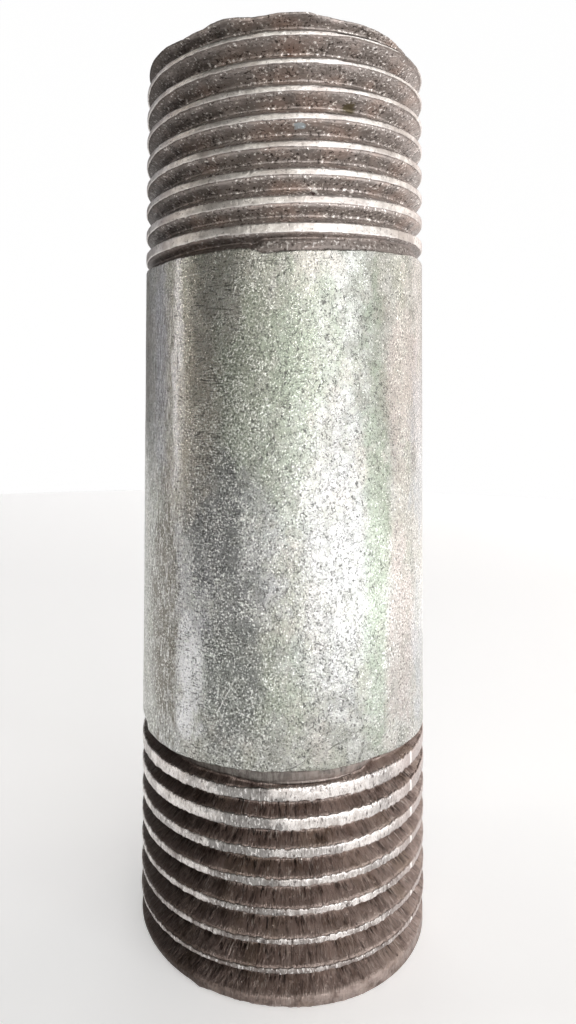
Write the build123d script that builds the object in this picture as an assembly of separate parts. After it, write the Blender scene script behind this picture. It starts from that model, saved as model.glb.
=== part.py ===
from build123d import *
import os
from math import cos, radians, tan

# Galvanised steel pipe nipple, 1/2 in nominal, a taper thread cut on both ends.
# Frame: +Z along the pipe axis, origin at the centre of the lower end face, -Y is the front.
# The pipe was galvanised first and threaded afterwards: the die cut through the zinc, so zinc
# is left on the barrel between the threads, on the flat crests of the threads and in the bore.

# ---- pipe, mm ----------------------------------------------------------------------------
LENGTH = 63.5            # 2 1/2 in, end face to end face
OUTSIDE_R = 21.34 / 2    # over the zinc
BORE_R = 7.90            # over the zinc lining
ZINC = 0.08              # coat on the outside
LINING = 0.06            # coat in the bore
OUTER_CHAMFER = 0.65     # die lead-in, 45 degrees
REAM = 0.45              # bore deburred at each end, 45 degrees

# ---- thread, mm and degrees --------------------------------------------------------------
PITCH = 25.4 / 14        # 14 threads per inch, right-hand
HALF_TAPER = 1.7899      # 1 in 16 on diameter
FLANK = 30.0             # each flank from the radial plane, a 60 degree V
ROOT_FLAT = 0.12
ROOT_R_AT_END = 9.37     # groove bottom in the plane of the end face, growing with the taper
TOOL_R = 1.40            # height of the cutting profile over its root
TURNS = 9                # turns of the cutter, the first of them off the end of the pipe
CHASERS = 4              # cutters in the die head, each leaving its own stop mark
STOP_ROOT_R = 10.25      # groove bottom in the marks where the chasers stopped
STOP_FLANK = 50.0        # their flank next to the barrel, shallower than the thread's
# last groove's height above the end face at the front, the angle where it stops, and how far
# past it the stop marks end
LOWER_THREAD = dict(last=14.19, stop=35.0, past=0.0)
UPPER_THREAD = dict(last=15.08, stop=10.0, past=0.11)

# ---- weld seam on the inside ---------------------------------------------------------------
SEAM_ANGLE = 148.0       # from the front, anticlockwise seen from above
SEAM_WIDTH = 1.7
SEAM_HEIGHT = 0.14       # flash left proud of the steel inside the pipe
SEAM_DEPTH = 0.60        # weld metal fused into the wall behind it

STEEL_R = OUTSIDE_R - ZINC
STEEL_BORE_R = BORE_R + LINING


def helix(z, radius, start, degrees, taper):
    """Right-handed helix from the given height, radius and angle (0 is the front)."""
    slant = cos(radians(taper))
    turn = Helix(PITCH / slant, PITCH * degrees / 360, radius, cone_angle=taper)
    return Pos(0, 0, z) * Rot(0, 0, start - 90) * turn


def groove(z, root_r, start, degrees, taper=HALF_TAPER, far_flank=FLANK):
    """V groove cutter: four helices joined by ruled faces, with a flat face at each end."""
    near = ROOT_FLAT / 2 + TOOL_R * tan(radians(FLANK))
    far = ROOT_FLAT / 2 + TOOL_R * tan(radians(far_flank))
    corners = [(root_r, -ROOT_FLAT / 2), (root_r + TOOL_R, -near),
               (root_r + TOOL_R, far), (root_r, ROOT_FLAT / 2)]
    edges = [helix(z + dz, r, start, degrees, taper) for r, dz in corners]
    pairs = list(zip(edges, edges[1:] + edges[:1]))
    sides = [Face.make_surface_from_curves(a, b) for a, b in pairs]
    caps = [Face(Polyline([e @ t for e in edges], close=True)) for t in (0, 1)]
    return Solid(Shell(sides + caps))


def thread_cutters(last, stop, past):
    """Everything the die removes from one end, one turn at a time, the end face being at z = 0."""
    cutters = []
    for turn in range(1, TURNS + 1):
        start = stop - 360 * turn
        z = last + PITCH * start / 360
        cutters.append(groove(z, ROOT_R_AT_END + z * tan(radians(HALF_TAPER)), start, 360))
    sector = 360 / CHASERS
    z = last + PITCH * (stop - sector) / 360 + past
    for i in range(CHASERS):
        cutters.append(groove(z, STOP_ROOT_R, stop + i * sector, sector, 0, STOP_FLANK))
    return cutters


def tube(outer, inner, z0=0.0, z1=LENGTH):
    ring = Circle(outer) - Circle(inner)
    return Pos(0, 0, z0) * extrude(ring, z1 - z0)


def end_trim():
    """Ring cut off the outside corner of the lower end."""
    reach = OUTSIDE_R + 1
    corner = [(OUTSIDE_R - OUTER_CHAMFER, 0), (OUTSIDE_R - OUTER_CHAMFER - 1, -1),
              (reach, -1), (reach, OUTER_CHAMFER + 1)]
    profile = Plane.XZ * make_face(Polyline([(x, z) for x, z in corner], close=True))
    return revolve(profile, Axis.Z)


def ream_trim():
    """Cone taken out of the bore's lower edge."""
    return Pos(0, 0, REAM / 2 - 0.5) * Cone(BORE_R + REAM + 1, BORE_R, REAM + 1)


def at_upper_end(shape):
    """The same thing on the upper end: turned about Y, which keeps the thread right-handed."""
    return Pos(0, 0, LENGTH) * Rot(0, 180, 0) * shape


def solids_by_height(shape, least=0.5):
    """The separate solids of a cut shape from bottom to top, without loose flakes."""
    found = [s for s in shape.solids() if s.volume > least]
    return sorted(found, key=lambda s: s.center().Z)


# ---- cutters shared by the steel and the zinc ----------------------------------------------
die_cuts = thread_cutters(**LOWER_THREAD) + [end_trim()]
die_cuts += [at_upper_end(c) for c in thread_cutters(**UPPER_THREAD) + [end_trim()]]
bore_cuts = [ream_trim(), at_upper_end(ream_trim())]

# ---- weld seam: low rounded ridge along the bore, fused into the wall ----------------------
UPWARD = (Align.CENTER, Align.CENTER, Align.MIN)
seam_r = SEAM_HEIGHT / 2 + SEAM_WIDTH ** 2 / (8 * SEAM_HEIGHT)
to_seam = Rot(0, 0, SEAM_ANGLE - 90) * Pos(STEEL_BORE_R, 0, 0)
crown = Pos(seam_r - SEAM_HEIGHT, 0, 0)
weld_zone = Box(2 * SEAM_DEPTH, SEAM_WIDTH, LENGTH, align=UPWARD)
seam = to_seam * (weld_zone & crown * Cylinder(seam_r, LENGTH, align=UPWARD))
seam_coat = to_seam * crown * Cylinder(seam_r + LINING, LENGTH, align=UPWARD)
bore_space = Cylinder(STEEL_BORE_R, LENGTH, align=UPWARD)

steel = tube(STEEL_R, STEEL_BORE_R) - seam
for cut in die_cuts + bore_cuts:
    steel -= cut
lining = tube(STEEL_BORE_R, BORE_R) + (seam_coat & bore_space) - seam
for cut in bore_cuts:
    seam -= cut
    lining -= cut
outer_zinc = tube(OUTSIDE_R, STEEL_R)
for cut in die_cuts:
    outer_zinc -= cut
lower_crest, barrel, upper_crest = solids_by_height(outer_zinc)

parts = {
    "steel_pipe": steel,
    "seam_weld_bead": seam,
    "barrel_zinc_coat": barrel,
    "upper_crest_zinc": upper_crest,
    "lower_crest_zinc": lower_crest,
    "bore_zinc_lining": lining,
}
os.makedirs("parts", exist_ok=True)
for name, shape in parts.items():
    shape.label = name
    export_step(shape, f"parts/{name}.step")
    box = shape.bounding_box()
    print(name, len(shape.solids()), round(shape.volume, 2), box.min, box.max)
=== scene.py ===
from math import cos, pi, radians, sin, tan
import bpy
import numpy as np
from mathutils import Matrix, Vector


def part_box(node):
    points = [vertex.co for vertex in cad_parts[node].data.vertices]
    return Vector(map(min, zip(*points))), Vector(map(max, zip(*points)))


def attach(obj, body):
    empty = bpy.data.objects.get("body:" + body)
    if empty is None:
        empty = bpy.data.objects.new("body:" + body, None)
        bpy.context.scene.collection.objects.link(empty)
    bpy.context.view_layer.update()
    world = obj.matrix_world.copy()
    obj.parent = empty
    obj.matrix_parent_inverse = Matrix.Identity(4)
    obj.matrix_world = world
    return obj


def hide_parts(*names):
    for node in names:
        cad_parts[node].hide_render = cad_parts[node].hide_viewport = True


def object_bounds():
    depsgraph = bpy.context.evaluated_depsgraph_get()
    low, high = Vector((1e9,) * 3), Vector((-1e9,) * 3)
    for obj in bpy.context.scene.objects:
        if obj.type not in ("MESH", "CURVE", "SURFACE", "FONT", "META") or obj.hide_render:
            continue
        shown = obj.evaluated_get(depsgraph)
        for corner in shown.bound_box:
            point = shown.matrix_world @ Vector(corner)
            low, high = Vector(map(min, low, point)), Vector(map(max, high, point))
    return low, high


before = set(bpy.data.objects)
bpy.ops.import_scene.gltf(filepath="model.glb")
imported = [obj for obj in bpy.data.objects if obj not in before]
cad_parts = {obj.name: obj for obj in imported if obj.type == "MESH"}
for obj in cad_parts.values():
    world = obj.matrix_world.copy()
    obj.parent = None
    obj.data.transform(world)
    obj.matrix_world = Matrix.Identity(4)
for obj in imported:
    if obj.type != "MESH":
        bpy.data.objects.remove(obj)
cad_low, cad_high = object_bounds()

# Galvanised pipe nipple. Meshes are worked out in millimetres, and in degrees round the pipe:
# 0 is the front (-Y) and angles grow towards +X. Each threaded end is built in its own frame,
# with s the height above its end face, and the upper one is then turned over about Y.

# ---- sizes, mm ---------------------------------------------------------------
MM = 0.001
LENGTH = (cad_high.z - cad_low.z) / MM
OUTSIDE_R = (cad_high.x - cad_low.x) / 2 / MM
ZINC = 0.08
LINING = 0.06
STEEL_R = OUTSIDE_R - ZINC
lining_low, lining_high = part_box("bore_zinc_lining")
STEEL_BORE_R = (lining_high.x - lining_low.x) / 2 / MM
REAM = 0.45
PITCH = 25.4 / 14
TAPER = tan(radians(1.7899))
FLANK = tan(radians(30))
ROOT_FLAT = 0.12
ROOT_R_AT_END = 9.37
HALF = LENGTH / 2
THREAD_TOP = 16.6        # above this the steel is plain and hidden by the barrel's zinc
SEAM_ANGLE = 148.0
SEAM_WIDTH = 1.7
SEAM_HEIGHT = 0.14
LEAST_LAND = 0.06        # a run-out narrower than this has no land
UNDERCUT_REACH = 0.09
CHAMFER_SLOPE = 1.05     # mm of radius in a mm of height
RIM_HEIGHT = 0.5         # below this the grooves fade into the uneven rim
RIM_FADE = 0.22
HIDDEN_GAP = 0.02        # steel under the barrel's zinc lies this far inside it

# ---- what each end looks like, (angle, mm) points in that end's own frame ----
# last: height of the last full groove at the front; turns: how many turns below it are cut
# fibre: torn into fibres, not grains; tearing: mm of roughness in the grooves; seed: of its noise
# edge: where the barrel's zinc begins; crest: the barrel side of the crest beside the run-out
# land: where the shallow land of the run-out begins; land_r: its radius at either side
# undercut: how far the land dips beside the barrel; depth: least radius of the last groove
# rim: radius of the outer corner in the end face; rounding: of the steel crests' shoulders
# least: lowest place of the crest zinc; trim: (height, mm) broken away along each of its edges
# worn: how much more of it has gone near the end face
LOWER = dict(
    name="lower", last=14.19, turns=7, fibre=True, tearing=0.032, seed=11,
    land_r=(10.30, 10.47), undercut=0.04, rounding=0.02, least=0.8,
    trim=[(0, 0.06), (9.0, 0.06), (10.5, 0.02), (11.5, -0.03), (14, -0.02)],
    worn=[(-180, 0.0), (180, 0.0)],
    edge=[(-180, 14.75), (-145.6, 14.92), (-145, 14.47), (-66, 14.85), (-64.5, 14.42), (-43, 14.43),
          (-27, 14.55), (-9, 14.65), (2, 14.75), (20, 14.77), (33, 14.91), (60, 14.82),
          (80, 14.66), (125, 14.92), (125.6, 14.47), (180, 14.75)],
    crest=[(-180, 13.88), (-145.6, 13.95), (-145, 13.40), (-66, 13.30), (-46, 13.35), (-27, 13.36),
           (-9, 13.48), (2, 13.70), (20, 13.83), (45, 13.97), (80, 14.05), (125, 14.10),
           (125.6, 13.62), (180, 13.88)],
    land=[(-180, 14.75), (-66, 14.80), (-64.5, 14.36), (-49, 14.22), (-40, 14.05), (-31, 13.97),
          (-19, 13.97), (-9, 13.80), (2, 13.84), (20, 13.98), (30, 14.25), (38, 14.86), (60, 14.82),
          (80, 14.66), (125, 14.92), (180, 14.75)],
    depth=[(-180, 10.2), (-145, 10.2), (-66, 9.9), (-49, 9.8), (30, 9.9), (60, 10.0), (90, 10.2),
           (180, 10.2)],
    rim=[(-180, 10.35), (-120, 10.42), (-60, 10.36), (-34, 10.40), (-30, 10.52), (-26, 10.38),
         (0, 10.34), (30, 10.42), (60, 10.36), (110, 10.44), (150, 10.30), (180, 10.35)],
)
UPPER = dict(
    name="upper", last=15.08, turns=8, fibre=False, tearing=0.020, seed=37,
    land_r=(10.32, 10.50), undercut=0.16, rounding=0.06, least=0.5,
    trim=[(0, -0.03), (4, -0.02), (8, 0.05), (10, 0.085), (11.8, 0.085), (13.6, 0.03), (16, 0.0)],
    worn=[(-180, 0.04), (-75, 0.10), (-55, 0.13), (-38, 0.09), (-24, 0.11), (-18, 0.0), (40, 0.0),
          (70, 0.03), (180, 0.04)],
    edge=[(-180, 15.42), (-171, 15.46), (-170, 14.98), (-81, 15.46), (-80, 15.05), (-60, 15.06),
          (-49, 15.24), (-36, 15.33), (-24, 15.47), (-4, 15.65), (7, 15.80), (9, 15.62),
          (12, 15.46), (18, 15.40), (27, 15.52), (38, 15.57), (55, 15.69), (99, 15.46),
          (100, 14.98), (180, 15.42)],
    crest=[(-180, 14.42), (-170, 13.98), (-81, 14.10), (-60, 14.18), (-45, 14.25), (-26, 14.42),
           (0, 14.51), (12, 14.56), (24, 14.56), (53, 14.83), (99, 14.98), (100, 14.15),
           (180, 14.42)],
    land=[(-180, 15.42), (-100, 15.2), (-81, 14.75), (-60, 14.50), (-36, 14.62), (-4, 14.84),
          (7, 14.95), (10, 15.25), (13, 15.46), (18, 15.40), (27, 15.52), (38, 15.57),
          (55, 15.69), (99, 15.46), (180, 15.42)],
    depth=[(-180, 10.2), (-100, 10.2), (-60, 10.0), (0, 9.9), (12, 9.9), (99, 9.9), (101, 10.2),
           (180, 10.2)],
    rim=[(-180, 10.10), (-140, 10.30), (-100, 9.90), (-58, 9.78), (-45, 9.95), (-32, 10.05),
         (-27, 10.00), (-21, 9.98), (-12, 10.25), (-9, 10.52), (1, 10.40), (6, 10.16), (12, 10.10),
         (17, 10.36), (22, 10.57), (28, 10.37), (33, 10.12), (45, 10.04), (53, 10.34),
         (66, 10.46), (110, 10.25), (150, 10.40), (180, 10.10)],
)

# ---- mesh fineness -----------------------------------------------------------
ROWS_PER_PITCH = 20
FRONT_STEP, BACK_STEP = 0.5, 1.25     # degrees
FRONT = 90.0                          # the fine columns reach this far either side
CREST_STEP = 0.36                     # degrees


def columns(front_step=FRONT_STEP, back_step=BACK_STEP):
    """Angles round the pipe, close together over the front half."""
    front = np.arange(-FRONT, FRONT, front_step)
    back = np.arange(FRONT, 360 - FRONT, back_step)
    return np.concatenate([back[back >= 180] - 360, front, back[back < 180]])


def noise(theta, s, around, step, seed):
    """Smooth noise from -1 to 1 on the unrolled pipe: cells in a turn, and mm of height in a cell."""
    rng = np.random.default_rng(seed)
    rows = int(LENGTH / step) + 6
    lattice = rng.uniform(-1, 1, (around, rows))
    u = np.mod(theta / 360.0, 1.0) * around
    v = np.clip(s / step + 2, 0, rows - 2.001)
    i, j = np.floor(u).astype(int) % around, np.floor(v).astype(int)
    a, b = u - np.floor(u), v - np.floor(v)
    a, b = a * a * (3 - 2 * a), b * b * (3 - 2 * b)
    k = (i + 1) % around
    value = (lattice[i, j] * (1 - a) + lattice[k, j] * a) * (1 - b)
    value += (lattice[i, j + 1] * (1 - a) + lattice[k, j + 1] * a) * b
    return value


def along(points, theta):
    """The value of a given outline at each angle."""
    angles, values = zip(*points)
    return np.interp(theta, angles, values)


def wrap(theta):
    """The same angles from -180 up to 180."""
    return np.mod(theta + 180, 360) - 180


def cut_radius(end, theta, s):
    """Radius of the cut steel before any tearing, and how far each point is from the groove's root."""
    root = ROOT_R_AT_END + s * TAPER
    q = (s - end["last"]) / PITCH - theta / 360
    k = np.clip(np.round(q), -end["turns"], -1)
    away = np.abs(q - k) * PITCH
    full = root + np.maximum(0, away - ROOT_FLAT / 2) / FLANK
    crest, land, edge = (along(end[key], theta) for key in ("crest", "land", "edge"))
    low_r, high_r = end["land_r"]
    wall = np.where(edge - land < LEAST_LAND, OUTSIDE_R, low_r)
    last = np.maximum(OUTSIDE_R - (s - crest) / FLANK, wall - (land - s) / FLANK)
    last = np.maximum(last, along(end["depth"], theta))
    shelf = low_r + (high_r - low_r) * (s - land) / np.maximum(edge - land, 0.05)
    shelf -= end["undercut"] * np.exp(-np.maximum(edge - s, 0) / UNDERCUT_REACH)
    last = np.where((s > land) & (edge - land > LEAST_LAND), shelf, last)
    last = np.where(s > edge, OUTSIDE_R, last)
    radius = np.minimum(full, last)
    rim = along(end["rim"], theta)
    chamfer = np.maximum(rim + s * CHAMFER_SLOPE, 0)
    faded = radius + (rim - np.minimum(radius, 10.4)) * np.exp(-s / RIM_FADE) * 0.9
    radius = np.where(s < RIM_HEIGHT, faded, radius)
    radius = np.minimum(radius, chamfer)
    rounding = end["rounding"]
    return STEEL_R - rounding * np.log1p(np.exp((STEEL_R - radius) / rounding)), away


def is_land(end, theta, s):
    """0 off the run-out's land, and on it from just over 0 at its inner side to 1 at the barrel."""
    land, edge = along(end["land"], theta), along(end["edge"], theta)
    across = np.clip((s - land) / np.maximum(edge - land, 0.05), 0.05, 1.0)
    return np.where((s > land) & (s < edge + 0.02) & (edge - land > LEAST_LAND), across, 0.0)


def torn(end, theta, s, radius):
    """Tearing left by a blunt die: fibres down the flanks on one end, grains on the other."""
    seed = end["seed"]
    if end["fibre"]:
        fine = noise(theta, s, 520, 0.30, seed + 1)
        broad = noise(theta, s, 230, 0.50, seed + 2)
        patch = noise(theta, s, 60, 1.1, seed + 3)
        smooth_land = 0.8
    else:
        fine = noise(theta, s, 300, 0.12, seed + 1)
        broad = noise(theta, s, 150, 0.22, seed + 2)
        patch = noise(theta, s, 70, 0.7, seed + 3)
        smooth_land = 0.3
    amount = end["tearing"] * (fine + broad * (0.7 + 0.6 * patch))
    depth = np.clip((STEEL_R - radius) / 0.25, 0, 1)
    return amount * depth * (1 - smooth_land * (is_land(end, theta, s) > 0))


def at_corners(mesh, places):
    """Places on the unrolled pipe for every face corner, with no jump inside a face at the back."""
    corners = np.empty(len(mesh.loops), dtype=np.int32)
    mesh.loops.foreach_get("vertex_index", corners)
    sides = np.empty(len(mesh.polygons), dtype=np.int32)
    mesh.polygons.foreach_get("loop_total", sides)
    starts = np.cumsum(sides) - sides
    places = places[corners]
    across = places[:, 0]
    spread = np.maximum.reduceat(across, starts) - np.minimum.reduceat(across, starts)
    jumps = np.repeat(spread > pi * OUTSIDE_R, sides)
    places[jumps & (across < 0), 0] += 2 * pi * OUTSIDE_R
    return places


def add_piece(name, vertices, faces, material, nodes, slot_name, vectors=(), **attributes):
    """Adds a mesh that rides on the pipe, with vector and float attributes for its shader."""
    mesh = bpy.data.meshes.new(name)
    mesh.from_pydata((np.asarray(vertices) * MM).tolist(), [], faces)
    for key, values in attributes.items():
        layer = mesh.attributes.new(key, "FLOAT", "POINT")
        layer.data.foreach_set("value", np.asarray(values, dtype=np.float32))
    for key, values in vectors:
        domain = "POINT"
        if key == "unrolled":
            values, domain = at_corners(mesh, values), "CORNER"
        layer = mesh.attributes.new(key, "FLOAT_VECTOR", domain)
        layer.data.foreach_set("vector", np.asarray(values, dtype=np.float32).ravel())
    mesh.polygons.foreach_set("use_smooth", np.full(len(mesh.polygons), True))
    mesh.materials.append(material)
    mesh.update()
    piece = bpy.data.objects.new(name, mesh)
    bpy.context.collection.objects.link(piece)
    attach(piece, "root")
    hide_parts(*nodes)


def round_points(theta, s, radius):
    """x, y, z of points given by angle, height and radius."""
    theta, s, radius = np.broadcast_arrays(theta, s, radius)
    angle = np.radians(theta)
    return np.stack([radius * np.sin(angle), -radius * np.cos(angle), s], -1).reshape(-1, 3)


def placed(end, points):
    """Moves points from an end's own frame to the pipe's."""
    if end["name"] == "upper":
        return np.stack([-points[:, 0], points[:, 1], LENGTH - points[:, 2]], -1)
    return points


def unroll(points):
    """Where points are on the unrolled outside: mm round from the front, mm up."""
    angle = np.arctan2(points[:, 0], -points[:, 1])
    return np.stack([angle * OUTSIDE_R, points[:, 2], 0 * angle], -1)


def ring_faces(lower, upper):
    """Quads between two rings of vertex numbers."""
    a, b = lower, np.roll(lower, -1)
    c, d = np.roll(upper, -1), upper
    return np.stack([a, b, c, d], -1)


def tube_faces(loop, inward=False):
    """Faces of a closed tube; a row of loop runs round the tube's wall at one angle."""
    faces = []
    width = loop.shape[1]
    for i in range(width):
        near, far = loop[:, i], loop[:, (i + 1) % width]
        faces += (ring_faces(far, near) if inward else ring_faces(near, far)).tolist()
    return faces


def tidy_faces(quads):
    """Quads whose sides have closed up become triangles, or go."""
    left = quads[:, 0] == quads[:, 3]
    right = quads[:, 1] == quads[:, 2]
    faces = quads[~left & ~right].tolist()
    faces += quads[left & ~right][:, [0, 1, 2]].tolist()
    faces += quads[right & ~left][:, [0, 1, 3]].tolist()
    return faces


def steel_end(end, material):
    """Threaded half of the steel pipe: rows follow the thread, so its edges stay clean."""
    theta = columns()
    count = len(theta)
    first = -end["last"] / PITCH - 0.5 - 1 / ROWS_PER_PITCH
    finish = (THREAD_TOP - end["last"]) / PITCH + 0.5 + 1 / ROWS_PER_PITCH
    q = np.arange(np.floor(first * ROWS_PER_PITCH), np.ceil(finish * ROWS_PER_PITCH) + 1) / ROWS_PER_PITCH
    rows = len(q)
    turn, s = np.meshgrid(theta, q, indexing="ij")
    s = end["last"] + PITCH * (s + turn / 360)
    low = s < 0.25 * PITCH / ROWS_PER_PITCH
    high = s > THREAD_TOP - 0.25 * PITCH / ROWS_PER_PITCH
    inside = ~(low | high)
    number = np.zeros((count, rows), int)
    number[inside] = np.arange(inside.sum())
    rim_ring = inside.sum() + np.arange(count)
    top_ring = rim_ring + count
    number[low] = np.repeat(rim_ring[:, None], rows, 1)[low]
    number[high] = np.repeat(top_ring[:, None], rows, 1)[high]

    grid_theta = np.concatenate([turn[inside], theta, theta])
    grid_s = np.concatenate([s[inside], np.zeros(count), np.full(count, THREAD_TOP)])
    radius, away = cut_radius(end, grid_theta, grid_s)
    tear = torn(end, grid_theta, grid_s, radius)
    hidden = (grid_s > along(end["edge"], grid_theta) + 0.03)
    radius = np.where(hidden, STEEL_R - HIDDEN_GAP, np.minimum(radius + tear, STEEL_R))
    points = [round_points(grid_theta, grid_s, radius)]
    skin = [round_points(grid_theta, grid_s, OUTSIDE_R)]
    looks = [np.stack([away, is_land(end, grid_theta, grid_s)], -1)]

    next_column = np.roll(number, -1, 0)
    wrapped = number[0]
    next_column[-1, :] = np.concatenate([wrapped[ROWS_PER_PITCH:], np.repeat(top_ring[:1], ROWS_PER_PITCH)])
    quads = np.stack([number[:, :-1], next_column[:, :-1], next_column[:, 1:], number[:, 1:]], -1)
    faces = tidy_faces(quads.reshape(-1, 4))

    # plain outside, joint face at mid-length, bore, ream, end face
    ream = STEEL_BORE_R + REAM + 0.03 * noise(theta, 0 * theta, 40, 1, end["seed"] + 7)
    rim = radius[inside.sum():inside.sum() + count]
    profile = [(HALF, STEEL_R - HIDDEN_GAP), (HALF, STEEL_BORE_R + 0.01), (REAM + 0.02, STEEL_BORE_R + 0.01),
               (0.02, ream)]
    for part in (0.12, 0.35, 0.6, 0.82, 0.95):
        dent = 0.016 + 0.016 * noise(theta, np.full(count, part * 2), 150, 0.4, end["seed"] + 8)
        profile.append((dent * (1 - abs(part - 0.5)), ream + (rim - ream) * part))
    ring = top_ring
    start = top_ring[-1] + 1
    for height, ring_r in profile:
        points.append(round_points(theta, height, ring_r))
        skin.append(points[-1])
        looks.append(np.tile([0.5, 0.0], (count, 1)))
        new_ring = start + np.arange(count)
        faces += ring_faces(ring, new_ring).tolist()
        ring, start = new_ring, start + count
    faces += ring_faces(ring, rim_ring).tolist()

    points, looks = np.concatenate(points), np.concatenate(looks)
    skin = placed(end, np.concatenate(skin))
    add_piece(f"steel_{end['name']}_half", placed(end, points), faces, material,
              ["steel_pipe"], "cut_steel", vectors=[("skin", skin), ("unrolled", unroll(skin))],
              away=looks[:, 0], land=looks[:, 1])


def crest_strips(end, material):
    """Zinc left on the flat crests: one long helical strip with ragged edges."""
    turns = np.arange(-360 * end["turns"] - 180, 200, CREST_STEP)
    theta = wrap(turns)
    centre = end["last"] + PITCH * (turns / 360 - 0.5)
    reach = np.arange(0, 1.0, 0.01)
    edges = []
    for side in (-1, 1):
        t, d = np.meshgrid(theta, reach, indexing="ij")
        s = centre[:, None] + side * d
        radius, _ = cut_radius(end, t, np.maximum(s, 0))
        solid = (radius > STEEL_R - 0.012) & (s > 0.3)
        if side > 0:
            solid &= s < along(end["edge"], t) - 0.1
        clear = np.argmin(solid, axis=1)
        edges.append(centre + side * reach[clear])
    low, high = edges
    seed = end["seed"] + 20
    # depth in mm and number in a turn of the fine and the coarse bites along an edge
    bites = [(0.065, 470), (0.035, 140)] if end["fibre"] else [(0.016, 500), (0.022, 130)]
    ragged = [sum(depth * noise(turns, centre, around, 0.9, seed + offset + i)
                  for (depth, around), offset in zip(bites, (0, 4))) for i in (0, 1)]
    broad = 0.02 * noise(turns, centre, 36, 0.9, seed + 9)
    trim = along(end["trim"], centre) + along(end["worn"], theta) * np.clip(1.15 - centre / 7, 0, 1)
    low, high = low + ragged[0] - broad + trim, high + ragged[1] + broad - trim
    width = high - low
    good = (width > 0.05) & (high - centre < 0.95) & (centre - low < 0.95) & (low > end["least"])
    across = np.array([0.0, 0.0, 0.12, 0.37, 0.63, 0.88, 1.0, 1.0])
    lift = np.array([-0.09, 0.045, 0.068, 0.078, 0.078, 0.068, 0.045, -0.09])
    bump_cells = (900, 0.5) if end["fibre"] else (400, 0.15)
    points, faces, lane = [], [], []
    starts = np.flatnonzero(good & ~np.roll(good, 1))
    base = 0
    for start in starts:
        stop = start
        while stop < len(good) and good[stop]:
            stop += 1
        if stop - start < 12:
            continue
        part = slice(start, stop)
        number = stop - start
        taper = np.minimum(np.minimum(np.arange(number), np.arange(number)[::-1]) / 10.0, 1.0)
        middle = (low[part] + high[part]) / 2
        half = (high[part] - low[part]) / 2 * np.maximum(taper, 0.12)
        s = middle[:, None] + half[:, None] * (2 * across - 1)
        t = np.repeat(theta[part][:, None], len(across), 1)
        bumps = noise(t, s, *bump_cells, seed + 12)
        radius = STEEL_R + np.minimum(lift + 0.010 * bumps * (lift > 0), ZINC - 0.0005)
        points.append(round_points(t, s, radius))
        lane.append(np.repeat(width[part][:, None], len(across), 1).ravel())
        rows = base + np.arange(number * len(across)).reshape(number, -1)
        a, b = rows[:-1], rows[1:]
        quads = np.stack([a, b, np.roll(b, -1, 1), np.roll(a, -1, 1)], -1)
        faces += quads.reshape(-1, 4).tolist()
        faces.append(rows[0].tolist())
        faces.append(rows[-1].tolist()[::-1])
        base += number * len(across)
    points = placed(end, np.concatenate(points))
    add_piece(f"{end['name']}_crest_strip", points, faces, material,
              [f"{end['name']}_crest_zinc"], "crest_zinc",
              vectors=[("unrolled", unroll(points))], lane=np.concatenate(lane))


def barrel_edge(end, theta):
    """Height of the barrel's zinc above an end face, with a ragged lip."""
    ragged = 0.03 * noise(theta, 0 * theta, 260, 1, end["seed"] + 40)
    ragged += 0.025 * noise(theta, 0 * theta, 60, 1, end["seed"] + 41)
    return along(end["edge"], theta) + ragged


def barrel_sleeve(material):
    """The zinc between the threads: a thin sleeve with a lumpy, drained surface."""
    theta = columns()
    low = barrel_edge(LOWER, theta)
    high = LENGTH - barrel_edge(UPPER, wrap(-theta))
    lip = np.array([0, 0.06, 0.16, 0.3])
    middle = np.linspace(0, 1, 96)
    t, m = np.meshgrid(theta, middle, indexing="ij")
    body = (low + 0.5)[:, None] + m * (high - low - 1.0)[:, None]
    s = np.concatenate([low[:, None] + lip, body, high[:, None] - lip[::-1]], 1)
    t = np.repeat(theta[:, None], s.shape[1], 1)
    sink = np.zeros(s.shape[1])
    sink[[0, -1]] = 0.035
    sink[[1, -2]] = 0.012
    lumps = 0.009 * noise(t, s, 34, 3.2, 61) + 0.006 * noise(t, s, 90, 1.3, 62)
    lumps += 0.003 * noise(t, s, 220, 0.5, 63)
    radius = OUTSIDE_R - 0.018 + lumps - sink
    radius = np.minimum(radius, OUTSIDE_R)
    columns_count, rows = s.shape
    points = [round_points(t, s, radius)]
    inner = np.stack([high, low], 1)
    points.append(round_points(np.repeat(theta[:, None], 2, 1), inner, STEEL_R - 0.015))
    number = np.arange(columns_count * rows).reshape(columns_count, rows)
    inner_number = columns_count * rows + np.arange(columns_count * 2).reshape(-1, 2)
    loop = np.concatenate([number, inner_number], 1)
    points = np.concatenate(points)
    add_piece("barrel_sleeve", points, tube_faces(loop), material,
              ["barrel_zinc_coat"], "barrel_zinc", vectors=[("unrolled", unroll(points))])


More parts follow.
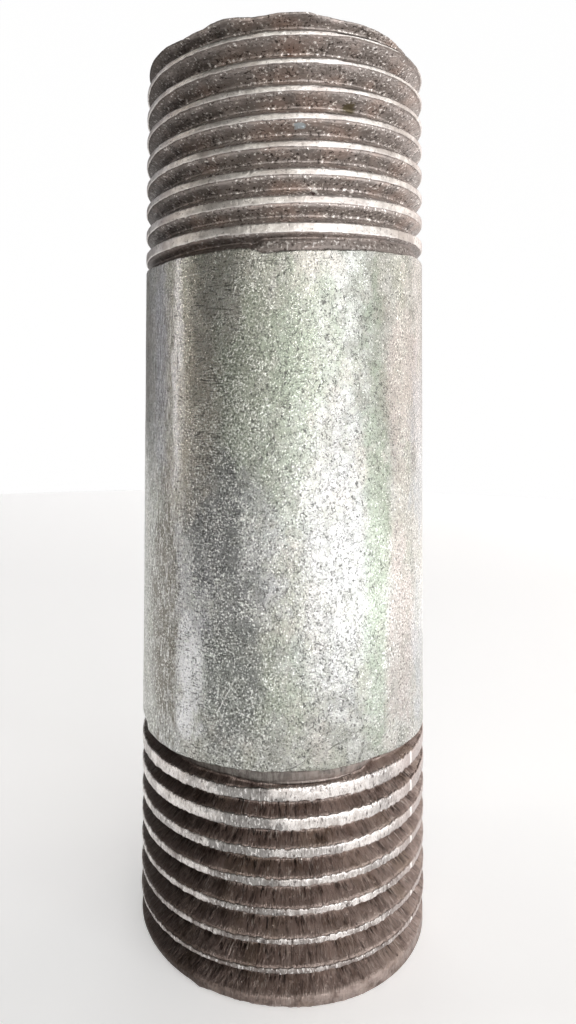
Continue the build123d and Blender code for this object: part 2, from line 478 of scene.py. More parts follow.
def bore_sleeve(material):
    """Zinc run down the bore, thicker over the weld seam."""
    theta = columns(1.0, 1.0)
    heights = np.concatenate([[REAM + 0.02, REAM + 0.2], np.linspace(1.2, LENGTH - 1.2, 70),
                              [LENGTH - REAM - 0.2, LENGTH - REAM - 0.02]])
    t, s = np.meshgrid(theta, heights, indexing="ij")
    off = wrap(t - SEAM_ANGLE) * pi / 180 * STEEL_BORE_R
    ridge = SEAM_HEIGHT * np.clip(1 - (off / (SEAM_WIDTH / 2)) ** 2, 0, 1)
    runs = noise(t, s, 26, 9.0, 71) * 0.014 + noise(t, s, 60, 2.5, 72) * 0.008
    radius = STEEL_BORE_R - LINING - ridge + 0.02 + np.clip(runs, -0.02, 0.02)
    count, rows = s.shape
    points = [round_points(t, s, radius)]
    outer = np.stack([heights[-1:].repeat(count), heights[:1].repeat(count)], 1)
    points.append(round_points(np.repeat(theta[:, None], 2, 1), outer, STEEL_BORE_R))
    number = np.arange(count * rows).reshape(count, rows)
    outer_number = count * rows + np.arange(count * 2).reshape(-1, 2)
    loop = np.concatenate([number, outer_number], 1)
    add_piece("bore_lining", np.concatenate(points), tube_faces(loop, inward=True), material,
              ["bore_zinc_lining"], "bore_zinc")


def weld_bead(material):
    """Weld metal that fills the seam in the wall; its flash is covered by the lining."""
    half_angle = np.degrees(SEAM_WIDTH / 2 / STEEL_BORE_R)
    across = np.linspace(-1, 1, 13)
    heights = np.linspace(REAM + 0.05, LENGTH - REAM - 0.05, 120)
    t, s = np.meshgrid(SEAM_ANGLE + half_angle * across, heights, indexing="ij")
    crown = SEAM_HEIGHT * (1 - across[:, None] ** 2)
    ripple = 0.012 * np.sin(s * 2 * pi / 0.9 + 1.5 * across[:, None] ** 2) * (1 - across[:, None] ** 2)
    inner = round_points(t, s, STEEL_BORE_R + 0.005 - crown + ripple)
    outer = round_points(t[[0, -1]], s[[0, -1]], STEEL_BORE_R + 0.55)
    rows = len(heights)
    number = np.arange(len(across) * rows).reshape(len(across), rows)
    outer_number = number.size + np.arange(2 * rows).reshape(2, rows)
    loop = np.concatenate([number, outer_number[::-1]], 0)
    nxt = np.roll(loop, -1, 0)
    quads = np.stack([loop[:, :-1], loop[:, 1:], nxt[:, 1:], nxt[:, :-1]], -1)
    faces = quads.reshape(-1, 4).tolist() + [loop[:, 0].tolist(), loop[::-1, -1].tolist()]
    add_piece("weld_bead", np.concatenate([inner, outer]), faces, material,
              ["seam_weld_bead"], "weld_steel")


# ---- colours and marks -------------------------------------------------------
DARK_ZINC = (0.075, 0.075, 0.07)
DARK_MARK, BRIGHT_MARK = (0.07, 0.07, 0.06), (0.95, 0.95, 0.93)
# marks on the barrel, scratches and one painted highlight line: degrees, height, length and width in mm,
# tilt in degrees, colour
BARREL_MARKS = [
    (8, 15.4, 2.6, 0.07, 26, DARK_MARK),
    (21, 16.4, 2.4, 0.07, 22, DARK_MARK),
    (29, 16.95, 1.2, 0.06, 14, DARK_MARK),
    (-8, 47.15, 6.0, 0.06, 3, DARK_MARK),
    (10, 47.5, 0.9, 0.10, 85, DARK_MARK),
    (16, 47.4, 2.2, 0.06, 8, DARK_MARK),
    (47, 46.45, 1.6, 0.10, -12, DARK_MARK),
    (-20, 19.0, 3.0, 0.10, 62, BRIGHT_MARK),
    # painted highlight: a thin bright line on the barrel, above the one down the lower crests
    (61, 16.5, 3.0, 0.16, 90, BRIGHT_MARK),
    (-36, 46.6, 2.4, 0.10, 4, BRIGHT_MARK),
    (-28, 39.5, 1.6, 0.08, -3, DARK_MARK),
    (-20, 33.4, 2.2, 0.08, 4, DARK_MARK),
    (-24, 44.2, 1.8, 0.08, -6, DARK_MARK),
]
OLIVE, CREAM, PINK = (0.43, 0.44, 0.38), (0.53, 0.51, 0.465), (0.55, 0.495, 0.47)
SHADE_SLATE, UMBER, MOSS = (0.21, 0.215, 0.215), (0.25, 0.235, 0.20), (0.33, 0.375, 0.30)
GREEN, LILAC, BROWN = (0.385, 0.44, 0.355), (0.52, 0.52, 0.545), (0.45, 0.42, 0.365)
BLUE, HIGHLIGHT_WHITE = (0.49, 0.525, 0.56), (0.88, 0.88, 0.90)
# stains and painted light (highlights, shade, reflections) on the barrel: degrees, height, width and height
# in mm, strength, colour
# the photo doesn't show beyond 90 degrees, so the stains there are guesses
STAINS_AND_PAINTED_LIGHT = [
    (-22, 42, 9.0, 16, 0.55, BROWN),
    (-8, 37, 7.0, 18, 0.65, GREEN),
    (10, 42, 5.0, 9, 0.5, GREEN),
    # the next three: painted lilac reflection on the front left, beside the painted highlights
    (-36, 27, 4.5, 15, 0.7, LILAC),
    (-31, 21, 3.0, 9, 0.6, LILAC),
    (-48, 22, 4.0, 20, 0.5, LILAC),
    (-42, 33, 3.0, 7, 0.6, BROWN),
    (-15, 29, 6.0, 10, 0.6, LILAC),
    (-12, 20, 8.0, 7, 0.5, GREEN),
    (36, 29, 2.6, 34, 0.75, GREEN),
    # the next three: painted pink and cream reflection on the right
    (52, 40, 5.0, 12, 0.7, PINK),
    (58, 31, 5.0, 8, 0.7, CREAM),
    (50, 22, 4.5, 13, 0.7, PINK),
    (66, 35, 4.0, 12, 0.6, BLUE),
    (68, 21, 4.0, 10, 0.5, BLUE),
    (20, 28, 5.0, 20, 0.35, LILAC),
    (-110, 30, 8.0, 20, 0.6, BROWN),
    (-145, 40, 9.0, 12, 0.6, GREEN),
    (-135, 22, 10.0, 10, 0.6, LILAC),
    (110, 25, 8.0, 18, 0.6, PINK),
    (135, 40, 9.0, 14, 0.6, OLIVE),
    (150, 24, 8.0, 10, 0.6, BLUE),
    # the next two: painted shade on the front left, where the barrel faces the dark front
    (-26, 31, 4.6, 10, 0.9, SHADE_SLATE),
    (-17, 21, 4.4, 13, 0.75, SHADE_SLATE),
    (-50, 23, 3.6, 17, 1.0, UMBER),
    # the next two: painted highlights, a patch low down and a thin streak higher up
    (-35, 19.5, 2.4, 8, 1.0, HIGHLIGHT_WHITE),
    (-42, 40, 1.3, 16, 1.0, HIGHLIGHT_WHITE),
    # painted lilac reflection at the left edge
    (-53, 41, 2.0, 14, 0.7, LILAC),
    (-33, 37, 3.6, 13, 0.7, BROWN),
    (37, 28, 2.2, 20, 0.5, MOSS),
    (60, 34, 1.2, 2.2, 0.7, UMBER),
    (52, 45, 1.5, 1.2, 0.6, UMBER),
]
# stains and nicks in the upper thread: degrees, height, width and height in mm, colour
STEEL_MARKS = [
    (27, 57.7, 1.0, 0.7, (0.15, 0.125, 0.08)),
    (12, 51.9, 0.35, 0.55, BRIGHT_MARK),
    (10.6, 51.6, 0.3, 0.4, (0.06, 0.03, 0.03)),
    (-24, 62.6, 0.6, 0.4, BRIGHT_MARK),
    (-26, 62.5, 0.6, 0.7, (0.02, 0.015, 0.01)),
    (-20, 54.7, 0.5, 0.3, BRIGHT_MARK),
    (52, 49.8, 0.7, 0.4, (0.06, 0.04, 0.03)),
    (6, 56.1, 0.9, 0.3, (0.55, 0.62, 0.66)),
    (3, 60.9, 0.7, 0.3, (0.25, 0.12, 0.07)),
]
# thickly specked and crackled parts of the barrel: degrees, height, width and height in mm
SPECKLED = (-9, 29, 9.5, 42)
CRACKLED = (16, 30, 10.5, 44)
HIGHLIGHT_LINE = 10.55     # mm round from the front: thin painted highlight line down the lower crests


# ---- materials ---------------------------------------------------------------
class Shader:
    """A node tree being written: each call adds a node and gives back its output."""

    def __init__(self, name, skin=False, **surface):
        self.material = bpy.data.materials.new(name)
        self.material.use_nodes = True
        self.tree = self.material.node_tree
        self.surface = self.tree.nodes["Principled BSDF"]
        self.unit = 1.0 if skin else MM
        if skin:
            attribute = self.add("ShaderNodeAttribute")
            attribute.attribute_name = "skin"
            self.place = attribute.outputs["Vector"]
        else:
            self.place = self.add("ShaderNodeTexCoord").outputs["Object"]
        for key, value in surface.items():
            self.surface.inputs[key.replace("_", " ")].default_value = value

    def add(self, kind):
        return self.tree.nodes.new(kind)

    def feed(self, socket, value):
        if isinstance(value, bpy.types.NodeSocket):
            self.tree.links.new(value, socket)
        else:
            socket.default_value = value

    def scaled(self, stretch):
        """Coordinates in mm, divided by the size of a cell in x, y and z."""
        node = self.add("ShaderNodeMapping")
        self.feed(node.inputs["Vector"], self.place)
        node.inputs["Scale"].default_value = [1 / self.unit / v for v in stretch]
        return node.outputs["Vector"]

    def noise(self, size, stretch=1.0, detail=2.0, roughness=0.5, distortion=0.0):
        """Noise with cells of this size in mm, stretched along the pipe."""
        node = self.add("ShaderNodeTexNoise")
        self.feed(node.inputs["Vector"], self.scaled((size, size, size * stretch)))
        node.inputs["Scale"].default_value = 1.0
        node.inputs["Detail"].default_value = detail
        node.inputs["Roughness"].default_value = roughness
        node.inputs["Distortion"].default_value = distortion
        return node.outputs["Fac"]

    def attribute(self, name):
        node = self.add("ShaderNodeAttribute")
        node.attribute_name = name
        return node.outputs["Fac"]

    def span(self, value, low, high, to_low=0.0, to_high=1.0):
        """Maps a range to another one, held at its ends."""
        node = self.add("ShaderNodeMapRange")
        for key, number in zip(("Value", "From Min", "From Max", "To Min", "To Max"),
                               (value, low, high, to_low, to_high)):
            self.feed(node.inputs[key], number)
        return node.outputs["Result"]

    def math(self, operation, a, b=0.0):
        node = self.add("ShaderNodeMath")
        node.operation = operation
        self.feed(node.inputs[0], a)
        self.feed(node.inputs[1], b)
        return node.outputs[0]

    def times(self, a, b):
        return self.math("MULTIPLY", a, b)

    def plus(self, a, b):
        return self.math("ADD", a, b)

    def minus(self, a, b):
        return self.math("SUBTRACT", a, b)

    def most(self, a, b):
        return self.math("MAXIMUM", a, b)

    def size_of(self, a):
        return self.math("ABSOLUTE", a)

    def mix(self, amount, a, b):
        node = self.add("ShaderNodeMix")
        node.data_type = "RGBA"
        self.feed(node.inputs["Factor"], amount)
        for socket, value in ((node.inputs[6], a), (node.inputs[7], b)):
            self.feed(socket, value if isinstance(value, bpy.types.NodeSocket) else (*value, 1.0))
        return node.outputs[2]

    def bump(self, height, distance, strength=1.0):
        """Bump of this height in mm."""
        node = self.add("ShaderNodeBump")
        node.inputs["Distance"].default_value = distance * MM
        node.inputs["Strength"].default_value = strength
        self.feed(node.inputs["Height"], height)
        return node.outputs["Normal"]

    def finish(self, colour, roughness, normal):
        self.feed(self.surface.inputs["Base Color"], colour)
        self.feed(self.surface.inputs["Roughness"], roughness)
        self.feed(self.surface.inputs["Normal"], normal)
        return self.material


def grained_steel():
    """Upper thread: dull grey-brown steel with sparse bright and dark grains and a few stains, and painted
    shade on its front left and just below its crests.
    """
    m = Shader("cut_steel_grained", Metallic=0.90)
    cloud = m.noise(1.1, 1.0, 3.0, 0.6)
    grain = m.noise(0.26, 1.0, 3.0, 0.65)
    land = m.attribute("land")
    on_land = m.span(land, 0.0, 0.04)
    colour = m.mix(m.span(cloud, 0.36, 0.64), (0.27, 0.24, 0.22), (0.40, 0.355, 0.33))
    colour = m.mix(m.span(m.noise(2.2), 0.48, 0.66, 0.0, 0.6), colour, (0.40, 0.31, 0.265))
    colour = m.mix(m.times(on_land, 0.5), colour, (0.37, 0.34, 0.32))
    around = mm_round(m)
    # painted shade: the front left of the thread is darkened to near black, where it turns away from the
    # lights
    shaded_front_left = m.plus(around, m.span(cloud, 0.3, 0.7, -1.5, 1.5))
    shaded_front_left = m.times(m.span(shaded_front_left, -4.0, -12.5), m.span(shaded_front_left, -27, -19))
    colour = m.mix(m.times(shaded_front_left, 0.9), colour, (0.04, 0.03, 0.024))
    near_root = m.span(m.attribute("away"), 0.36, 0.12, 0.0, 0.5)
    crowd = m.plus(m.span(m.noise(1.0, 0.5, 2.0, 0.6), 0.46, 0.62), near_root)
    crowd = m.plus(crowd, m.times(m.span(land, 0.1, 0.3), m.span(land, 0.75, 0.5)))
    dots = m.noise(0.19, 1.0, 1.0, 0.5)
    shift = m.span(crowd, 0.0, 1.0, 0.06, 0.0)
    colour = m.mix(m.span(m.plus(dots, shift), 0.41, 0.36, 0.0, 0.85), colour, (0.045, 0.035, 0.03))
    bright = m.times(m.span(m.minus(dots, shift), 0.60, 0.65, 0.0, 0.9),
                     m.span(around, -12, -5, 0.25, 1.0))
    colour = m.mix(bright, colour, (0.98, 0.94, 0.90))
    # painted shade: the steel just below each crest's zinc is darkened
    colour = m.mix(m.span(m.attribute("away"), 0.60, 0.70, 0.0, 0.55), colour, (0.10, 0.08, 0.07))
    ragged = m.span(m.noise(0.4, 1.0, 2.0), 0.3, 0.7, -0.4, 0.4)
    for *where, paint in STEEL_MARKS:
        colour = m.mix(patch(m, ragged, *where), colour, paint)
    rough = m.span(grain, 0.35, 0.65, 0.52, 0.34)
    height = m.plus(grain, m.times(dots, 0.5))
    return m.finish(colour, rough, m.bump(height, 0.065, 1.0))


def fibrous_steel():
    """Lower thread: near-black brown steel torn into short fibres that run down its flanks, with painted
    shade on its front left and painted light just right of the front.
    """
    m = Shader("cut_steel_fibrous", skin=True, Metallic=0.95)
    strand = m.noise(0.085, 3.6, 2.0, 0.65, 0.3)
    bundle = m.noise(0.20, 2.2, 3.0, 0.7, 0.5)
    patch_noise = m.noise(0.9, 0.7, 3.0, 0.6)
    ragged = m.span(m.noise(0.25, 1.5, 2.0), 0.3, 0.7, -0.16, 0.16)
    deep = m.span(m.plus(m.attribute("away"), ragged), 0.58, 0.26)
    land = m.attribute("land")
    on_land = m.span(land, 0.0, 0.04)
    colour = m.mix(m.span(patch_noise, 0.35, 0.65), (0.235, 0.180, 0.158), (0.38, 0.305, 0.272))
    colour = m.mix(m.span(m.noise(2.4, 1.0, 2.0), 0.52, 0.68, 0.0, 0.4), colour, (0.28, 0.215, 0.15))
    streaks = m.mix(m.span(m.noise(0.16, 5.0, 2.0), 0.40, 0.60), (0.15, 0.14, 0.13), (0.275, 0.265, 0.245))
    colour = m.mix(m.times(on_land, 0.85), colour, streaks)
    lip = m.times(on_land, m.span(land, 0.22, 0.10))
    colour = m.mix(m.times(lip, 0.7), colour, (0.10, 0.085, 0.075))
    dark = m.times(m.span(bundle, 0.50, 0.40), m.span(deep, 0.0, 1.0, 0.30, 0.95))
    flat = m.span(on_land, 0.0, 1.0, 1.0, 0.35)
    colour = m.mix(m.times(dark, flat), colour, (0.022, 0.015, 0.012))
    bright = m.times(m.span(strand, 0.56, 0.66), m.span(deep, 0.0, 1.0, 0.25, 0.95))
    bright = m.times(bright, m.span(m.noise(0.6, 0.8, 2.0), 0.42, 0.60))
    colour = m.mix(bright, colour, (0.85, 0.79, 0.74))
    around = mm_round(m)
    # painted light: the grooves are paler just right of the front, where they face the key lights
    clean = m.times(m.span(around, -0.5, 3.0), m.span(around, 10.0, 7.0, 0.1, 0.45))
    colour = m.mix(m.times(clean, m.span(patch_noise, 0.35, 0.55)), colour, (0.60, 0.50, 0.46))
    # painted shade: the front left of the thread is darkened to near black, where it turns away from the
    # lights
    shaded_front_left = m.plus(around, m.span(patch_noise, 0.3, 0.7, -1.5, 1.5))
    shaded_front_left = m.times(m.span(shaded_front_left, -1.0, -7.0), m.span(shaded_front_left, -27, -19))
    colour = m.mix(m.times(shaded_front_left, 0.78), colour, (0.028, 0.018, 0.013))
    rough = m.span(strand, 0.35, 0.65, 0.48, 0.30)
    height = m.plus(m.times(strand, 0.8), bundle)
    return m.finish(colour, rough, m.bump(m.times(height, flat), 0.13, 1.0))


def barrel_coat():
    """Galvanised barrel: stained grey zinc with hairline crackle, dark and bright specks, and painted
    highlights, shade and reflections.
    """
    m = Shader("barrel_zinc", Metallic=0.92)
    base = m.span(m.noise(1.1, 1.2, 4.0, 0.65), 0.38, 0.60)
    colour = m.mix(base, (0.34, 0.345, 0.31), (0.55, 0.555, 0.525))
    colour = m.mix(m.span(m.noise(2.0, 1.4, 4.0, 0.65), 0.50, 0.60, 0.0, 0.8), colour, OLIVE)
    colour = m.mix(m.span(m.noise(2.7, 1.3, 3.0, 0.6), 0.53, 0.64, 0.0, 0.7), colour, CREAM)
    ragged = m.span(m.noise(1.6, 1.6, 4.0, 0.65), 0.3, 0.7, -0.45, 0.45)
    mottled = m.span(m.noise(0.8, 1.5, 3.0, 0.6), 0.38, 0.56, 0.55, 1.0)
    for *where, strength, stain_and_light_colour in STAINS_AND_PAINTED_LIGHT:
        covered = m.times(patch(m, ragged, *where), m.times(mottled, strength))
        colour = m.mix(covered, colour, stain_and_light_colour)
    around = mm_round(m)
    behind = m.span(m.size_of(around), 15, 18)
    crowd = m.noise(1.5, 1.5, 3.0, 0.65)
    crowded = m.times(behind, m.span(crowd, 0.45, 0.6))
    thick = m.times(patch(m, ragged, *SPECKLED), m.span(crowd, 0.30, 0.52, 0.35, 1.0))
    speckled = m.most(thick, crowded)
    crackled = m.most(patch(m, ragged, *CRACKLED), crowded)
    speck = m.noise(0.13, 1.1, 2.0, 0.7, 0.3)
    shift = m.span(speckled, 0.0, 1.0, 0.035, 0.0)
    shift = m.plus(shift, m.times(crackled, 0.055))
    dark = m.span(m.plus(speck, shift), 0.455, 0.41, 0.0, 0.85)
    colour = m.mix(dark, colour, DARK_ZINC)
    bright = m.span(m.minus(speck, shift), 0.555, 0.60, 0.0, 0.9)
    colour = m.mix(bright, colour, (0.95, 0.96, 0.93))
    broken = m.span(m.noise(0.30, 1.2, 2.0), 0.42, 0.50, 0.15, 1.0)
    for size, stretch, width in ((0.31, 1.5, 0.030), (0.25, 0.7, 0.030)):
        curl = m.size_of(m.minus(m.noise(size, stretch, 1.0, 0.5, 1.0), 0.5))
        line = m.times(m.span(curl, width, width / 2), m.times(crackled, broken))
        colour = m.mix(m.times(line, 0.85), colour, DARK_ZINC)
    streak = m.noise(0.16, 5.0, 2.0, 0.6)
    left_only = m.span(around, -6.5, -8.5)
    dash = m.noise(0.55, 0.16, 2.0, 0.6)
    dashed = m.times(m.span(around, -9.5, -7.5), m.span(around, -1.0, -4.0))
    dashed = m.times(dashed, m.span(crowd, 0.42, 0.56, 0.25, 1.0))
    colour = m.mix(m.times(m.span(dash, 0.42, 0.36, 0.0, 0.85), dashed), colour, DARK_ZINC)
    colour = m.mix(m.times(m.span(dash, 0.60, 0.67, 0.0, 0.7), dashed), colour, (0.72, 0.76, 0.70))
    colour = m.mix(m.times(m.span(streak, 0.43, 0.36, 0.0, 0.6), left_only), colour, (0.17, 0.155, 0.13))
    colour = m.mix(m.times(m.span(streak, 0.58, 0.65, 0.0, 0.7), left_only), colour, (0.85, 0.85, 0.84))
    for *where, paint in BARREL_MARKS:
        colour = m.mix(scratch_and_highlight(m, *where), colour, paint)
    roughness = m.span(speck, 0.35, 0.65, 0.38, 0.22)
    height = m.plus(m.times(speck, m.span(speckled, 0.0, 1.0, 0.4, 0.9)), crowd)
    return m.finish(colour, roughness, m.bump(height, 0.045, 1.0))


def crest_coat(name, base, pale, dark, torn_zinc):
    """Zinc on the thread crests: pale where it is thick, dull where it is thin or narrow; on the lower
    thread, also painted shade left of the front and a thin painted highlight line.
    """
    m = Shader(name, Metallic=0.92)
    lane = m.plus(m.attribute("lane"), m.span(m.noise(1.2, 1.0, 2.0), 0.3, 0.7, -0.14, 0.14))
    colour = m.mix(m.span(m.noise(0.7, 1.0, 4.0, 0.65), 0.40, 0.60), base, pale)
    colour = m.mix(m.span(m.noise(3.0, 1.0, 2.0), 0.50, 0.60, 0.0, 0.6), colour, dark)
    if torn_zinc:
        ragged = m.span(m.noise(0.9, 1.0, 3.0), 0.3, 0.7, -0.4, 0.4)
        # painted shade: the crest zinc is greyed left of the front, where it faces the dark front
        dull = patch(m, ragged, -13, 8.5, 5.0, 26)
        colour = m.mix(m.times(dull, 0.85), colour, (0.27, 0.26, 0.25))
        colour = m.mix(m.span(lane, 0.48, 0.26, 0.0, 0.75), colour, (0.20, 0.165, 0.15))
        strand = m.noise(0.13, 2.6, 3.0, 0.65, 0.4)
        flecks = m.span(m.noise(0.8, 0.6, 2.0), 0.42, 0.58)
        colour = m.mix(m.span(strand, 0.56, 0.62, 0.0, 0.8), colour, (0.98, 0.96, 0.94))
        fleck = m.times(m.span(strand, 0.44, 0.38), m.span(flecks, 0.0, 1.0, 0.25, 0.9))
        colour = m.mix(fleck, colour, (0.07, 0.055, 0.05))
        around = mm_round(m)
        colour = m.mix(m.span(around, 7.5, 10.0, 0.0, 0.8), colour, (0.46, 0.385, 0.36))
        # painted highlight: a thin bright line down the lower crests
        from_highlight_line = m.size_of(m.minus(around, HIGHLIGHT_LINE))
        colour = m.mix(m.span(from_highlight_line, 0.17, 0.09), colour, (1.0, 0.97, 0.94))
        rough = m.span(strand, 0.35, 0.65, 0.38, 0.24)
    else:
        strand = m.noise(0.20, 1.0, 2.0, 0.7)
        colour = m.mix(m.span(strand, 0.40, 0.33, 0.0, 0.6), colour, (0.12, 0.10, 0.09))
        rough = m.span(strand, 0.35, 0.65, 0.42, 0.28)
    height = m.plus(m.times(strand, 0.8), m.noise(0.55))
    return m.finish(colour, rough, m.bump(height, 0.045, 1.0))


def bore_coat():
    """Zinc that has run down the bore and dried in dull, mottled streaks."""
    m = Shader("bore_zinc", Metallic=0.92)
    colour = m.mix(m.span(m.noise(1.6, 3.0, 4.0, 0.6), 0.38, 0.62), (0.26, 0.26, 0.25), (0.46, 0.46, 0.44))
    colour = m.mix(m.span(m.noise(3.0, 1.5, 3.0), 0.52, 0.66, 0.0, 0.6), colour, (0.30, 0.24, 0.18))
    grain = m.noise(0.22, 2.0, 2.0, 0.7)
    colour = m.mix(m.span(grain, 0.42, 0.34, 0.0, 0.7), colour, DARK_ZINC)
    return m.finish(colour, m.span(grain, 0.35, 0.65, 0.52, 0.34), m.bump(grain, 0.05, 1.0))


def unrolled(m):
    """Each point's place on the unrolled pipe, in mm."""
    attribute = m.add("ShaderNodeAttribute")
    attribute.attribute_name = "unrolled"
    return attribute.outputs["Vector"]


def mm_round(m):
    """How far round the outside each point is from the front, in mm."""
    parts = m.add("ShaderNodeSeparateXYZ")
    m.feed(parts.inputs[0], unrolled(m))
    return parts.outputs["X"]


def on_barrel(m, angle, height, length, width, turn=0):
    """Coordinates centred on a place on the unrolled pipe, 1 at the ends of a length and a width in mm."""
    node = m.add("ShaderNodeMapping")
    node.vector_type = "TEXTURE"
    m.feed(node.inputs["Vector"], unrolled(m))
    node.inputs["Location"].default_value = (radians(angle) * OUTSIDE_R, height, 0)
    node.inputs["Rotation"].default_value = (0, 0, radians(turn))
    node.inputs["Scale"].default_value = (length / 2, width / 2, 1)
    return node.outputs["Vector"]


def patch(m, ragged, angle, height, wide, tall):
    """How much of a blotch with a ragged edge covers each point."""
    distance = m.add("ShaderNodeVectorMath")
    distance.operation = "LENGTH"
    m.feed(distance.inputs[0], on_barrel(m, angle, height, wide, tall))
    return m.span(m.plus(distance.outputs["Value"], ragged), 1.15, 0.75)


def scratch_and_highlight(m, angle, height, length, width, turn):
    """How much of a wandering, broken mark covers each point of the barrel."""
    parts = m.add("ShaderNodeSeparateXYZ")
    m.feed(parts.inputs[0], on_barrel(m, angle, height, length, width, turn))
    wander = m.times(m.minus(m.noise(0.7), 0.5), 5.0)
    across = m.size_of(m.plus(parts.outputs["Y"], wander))
    ends = m.span(m.size_of(parts.outputs["X"]), 1.0, 0.6)
    broken = m.span(m.noise(0.4), 0.42, 0.52, 0.15, 0.9)
    return m.times(m.span(across, 1.0, 0.4), m.times(ends, broken))


def weld_metal():
    """Dark, heat-stained weld metal."""
    m = Shader("weld_steel", Metallic=0.6)
    colour = m.mix(m.noise(0.6, 1.0, 3.0), (0.10, 0.10, 0.12), (0.30, 0.28, 0.26))
    colour = m.mix(m.span(m.noise(2.5, 0.5, 2.0), 0.5, 0.7, 0.0, 0.5), colour, (0.24, 0.15, 0.09))
    return m.finish(colour, m.span(m.noise(0.3), 0.3, 0.7, 0.35, 0.6), m.bump(m.noise(0.2), 0.03, 0.5))


def pale_floor():
    """Pale sheet that glows under and behind the pipe, where the photo's background is white."""
    m = Shader("pale_floor", Metallic=0.0)
    colour = m.mix(m.noise(60.0), (0.88, 0.88, 0.88), (0.92, 0.92, 0.92))
    depth = m.add("ShaderNodeSeparateXYZ")
    m.feed(depth.inputs[0], m.place)
    y = depth.outputs["Y"]
    aside = m.span(m.size_of(depth.outputs["X"]), 0.24, 0.34, 1.0, 0.0)
    glow = m.plus(m.span(y, -0.04, 0.02, 0.28, 0.48), m.span(y, 0.1, 0.5, 0.0, 0.30))
    glow = m.times(glow, aside)
    m.surface.inputs["Emission Color"].default_value = (1, 1, 1, 1)
    m.feed(m.surface.inputs["Emission Strength"], glow)
    return m.finish(colour, 0.8, m.bump(m.noise(2.0), 0.01, 0.1))


# ---- the pieces --------------------------------------------------------------
upper_steel = grained_steel()
lower_steel = fibrous_steel()
barrel_zinc = barrel_coat()
upper_crest = crest_coat("upper_crest_zinc", base=(0.57, 0.535, 0.505), pale=(0.80, 0.765, 0.73),
                         dark=(0.42, 0.37, 0.34), torn_zinc=False)
lower_crest = crest_coat("lower_crest_zinc", base=(0.66, 0.615, 0.585), pale=(0.94, 0.90, 0.87),
                         dark=(0.30, 0.28, 0.27), torn_zinc=True)
bore_zinc = bore_coat()

steel_end(LOWER, lower_steel)
steel_end(UPPER, upper_steel)
crest_strips(LOWER, lower_crest)
crest_strips(UPPER, upper_crest)
barrel_sleeve(barrel_zinc)
bore_sleeve(bore_zinc)
weld_bead(weld_metal())

# ---- floor and backdrop ------------------------------------------------------
# in metres
FLOOR_REACH = 0.9
FLOOR_HALF_WIDTH = 1.6
SWEEP_R = 0.25
SWEEP_STEPS = 12
BACK_HEIGHT = 1.6
UNDER_PIPE = 0.0001     # how far the floor lies below the end face
WALL_R = 0.26
WALL_FOOT, WALL_TOP = -0.001, 1.0
WALL_GLOW = 0.97


def studio_mesh(name, vertices, faces, material):
    """A smooth object that belongs to the studio."""
    mesh = bpy.data.meshes.new(name)
    mesh.from_pydata(vertices, [], faces)
    mesh.polygons.foreach_set("use_smooth", np.full(len(mesh.polygons), True))
    mesh.materials.append(material)
    thing = bpy.data.objects.new(name, mesh)
    bpy.context.collection.objects.link(thing)
    return thing


def floor_sweep():
    """Pale sheet that lies flat under the pipe and curves up behind it."""
    profile = [(-FLOOR_REACH, 0.0), (FLOOR_REACH - SWEEP_R, 0.0)]
    for step in range(1, SWEEP_STEPS + 1):
        a = radians(90 * step / SWEEP_STEPS)
        profile.append((FLOOR_REACH - SWEEP_R + SWEEP_R * sin(a), SWEEP_R * (1 - cos(a))))
    profile.append((FLOOR_REACH, BACK_HEIGHT))
    vertices, faces = [], []
    for x in (-FLOOR_HALF_WIDTH, FLOOR_HALF_WIDTH):
        vertices += [(x, y, z - UNDER_PIPE) for y, z in profile]
    count = len(profile)
    for i in range(count - 1):
        faces.append((i, count + i, count + i + 1, i + 1))
    sweep = studio_mesh("floor_sweep", vertices, faces, pale_floor())


def studio_wall():
    """Plain pale wall all round, seen by the camera only, so that it doesn't change the light."""
    m = Shader("pale_wall")
    m.surface.inputs["Emission Color"].default_value = (1, 1, 1, 1)
    m.surface.inputs["Emission Strength"].default_value = WALL_GLOW
    colour = m.mix(m.noise(90.0), (0.01, 0.01, 0.01), (0.02, 0.02, 0.02))
    m.finish(colour, 0.9, m.bump(m.noise(2.0), 0.01, 0.1))
    ring = [(WALL_R * sin(radians(a)), WALL_R * cos(radians(a))) for a in range(0, 360, 5)]
    count = len(ring)
    vertices = [(x, y, z) for z in (WALL_FOOT, WALL_TOP) for x, y in ring]
    faces = [(i, (i + 1) % count, count + (i + 1) % count, count + i) for i in range(count)]
    wall = studio_mesh("studio_wall", vertices, faces, m.material)
    for ray in ("diffuse", "glossy", "transmission", "shadow"):
        setattr(wall, f"visible_{ray}", False)


floor_sweep()
studio_wall()

# ---- light -------------------------------------------------------------------
PANEL_LIFT = 0.0005     # metres from the floor up to the light panels that lie on it


def area_light(name, place, facing, size, power, colour=(1, 1, 1)):
    """A soft rectangular light at a place, its face turned along the given direction, all in metres."""
    data = bpy.data.lights.new(name, "AREA")
    data.shape = "RECTANGLE"
    data.size, data.size_y = size
    data.energy = power
    data.color = colour
    light = bpy.data.objects.new(name, data)
    light.location = place
    light.rotation_mode = "QUATERNION"
    light.rotation_quaternion = (-Vector(facing)).to_track_quat("Z", "Y")
    light.visible_camera = False
    bpy.context.collection.objects.link(light)
    return light


def wall_light(name, azimuth, width, power, colour=(1, 1, 1), height=0.55, distance=0.40, elevation=8):
    """Upright softbox round the pipe; azimuth 0 is in front and 90 at the right."""
    a, e = radians(azimuth), radians(elevation)
    away = Vector((sin(a) * cos(e), -cos(a) * cos(e), sin(e)))
    area_light(name, Vector((0, 0, HALF * MM)) + away * distance, -away, (width, height), power, colour)


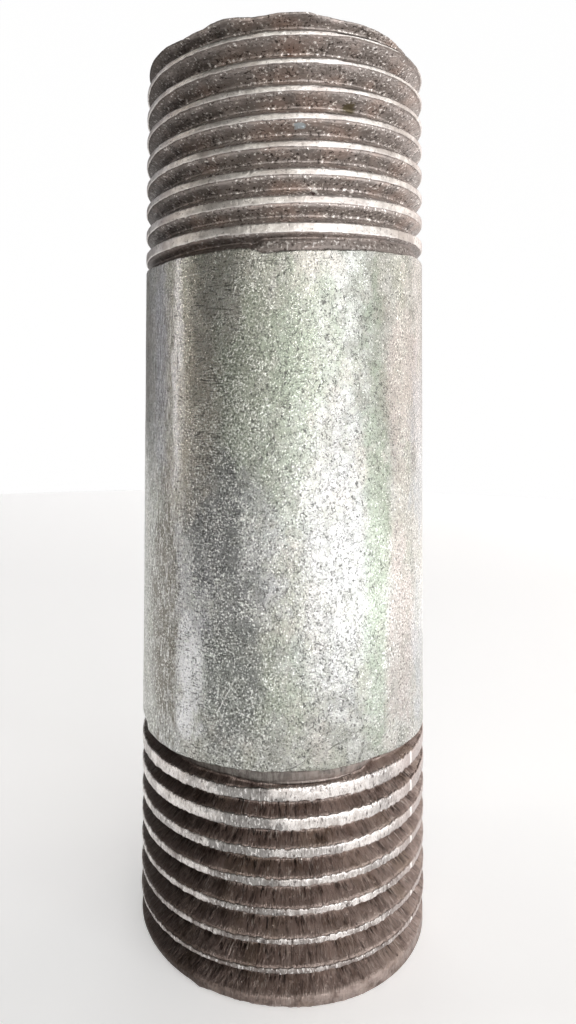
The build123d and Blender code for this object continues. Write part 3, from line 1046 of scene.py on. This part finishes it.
def floor_light(name, azimuth, near, far, width, power, colour=(1, 1, 1)):
    """Light panel lying on the floor, from near to far along an azimuth."""
    a = radians(azimuth)
    out = Vector((sin(a), -cos(a), 0))
    panel = area_light(name, out * (near + far) / 2 + Vector((0, 0, PANEL_LIFT)), (0, 0, 1),
                       (width, far - near), power, colour)
    panel.rotation_mode = "XYZ"
    panel.rotation_euler = (pi, 0, -a)


# name, azimuth, width, power, colour
WALLS = [
    ("back_left_soft", -150, 0.18, 0.03, (1.0, 0.95, 0.92)),
    ("left_dim", -120, 0.18, 0.13, (0.93, 0.92, 1.0)),
    ("left_soft", -97, 0.07, 0.11, (1.0, 0.92, 0.88)),
    ("left_strip", -84, 0.02, 0.17, (1.0, 0.94, 0.85)),
    ("front_dim", -48, 0.16, 0.055, (1.0, 0.97, 0.90)),
    ("front_soft", -15, 0.14, 0.32, (1.0, 0.98, 0.91)),
    ("key_1", 8, 0.06, 0.16, (1.0, 0.97, 0.93)),
    ("key_2", 22, 0.10, 0.46, (1.0, 0.98, 0.94)),
    ("key_3", 38, 0.10, 0.455, (1.0, 0.96, 1.0)),
    ("key_4", 56, 0.12, 0.55, (0.97, 1.0, 0.99)),
    ("right_soft", 80, 0.16, 0.32, (1.0, 0.95, 0.92)),
    ("right_warm", 108, 0.18, 0.53, (1.0, 0.95, 0.90)),
    ("back_warm", 140, 0.18, 0.46, (1.0, 0.90, 0.87)),
]
# name, azimuth, near, far, width, power, colour
PANELS = [
    ("glow_front", 25, 0.012, 0.25, 0.07, 0.105, (0.92, 0.97, 1.0)),
    ("glow_right", 60, 0.013, 0.25, 0.10, 0.114, (1, 0.95, 0.98)),
    ("glow_side", 100, 0.013, 0.25, 0.12, 0.015, (1.0, 0.9, 0.9)),
    ("glow_back", 140, 0.013, 0.25, 0.12, 0.048, (1.0, 0.92, 0.9)),
]
for light in WALLS:
    wall_light(*light)
for light in PANELS:
    floor_light(*light)

world = bpy.data.worlds.new("studio")
world.use_nodes = True
world.node_tree.nodes["Background"].inputs["Color"].default_value = (1.0, 0.98, 0.96, 1)
world.node_tree.nodes["Background"].inputs["Strength"].default_value = 0.015
bpy.context.scene.world = world
bpy.context.scene.view_settings.view_transform = "Standard"

# ---- camera ------------------------------------------------------------------
EYE = (0.0, -57.47, 38.15)     # mm
YAW, PITCH_UP, ROLL = -3.423, 1.519, 0.246
SENSOR, FOCAL = 36.0, 25.68    # mm
SHIFT = 0.0482, -0.1275


def make_camera():
    """Camera at the photograph's viewing angle."""
    yaw, pitch, roll = radians(YAW), radians(PITCH_UP), radians(ROLL)
    forward = Vector((sin(yaw) * cos(pitch), cos(yaw) * cos(pitch), sin(pitch)))
    level = Vector((cos(yaw), -sin(yaw), 0))
    up = level.cross(forward)
    right = level * cos(roll) + up * sin(roll)
    up = up * cos(roll) - level * sin(roll)
    data = bpy.data.cameras.new("camera")
    data.sensor_width = SENSOR
    data.lens = FOCAL
    data.shift_x, data.shift_y = SHIFT
    data.clip_start, data.clip_end = 0.001, 10.0
    camera = bpy.data.objects.new("camera", data)
    axes = Matrix((right, up, -forward)).transposed()
    camera.matrix_world = Matrix.Translation(Vector(EYE) * MM) @ axes.to_4x4()
    bpy.context.collection.objects.link(camera)
    bpy.context.scene.camera = camera


make_camera()
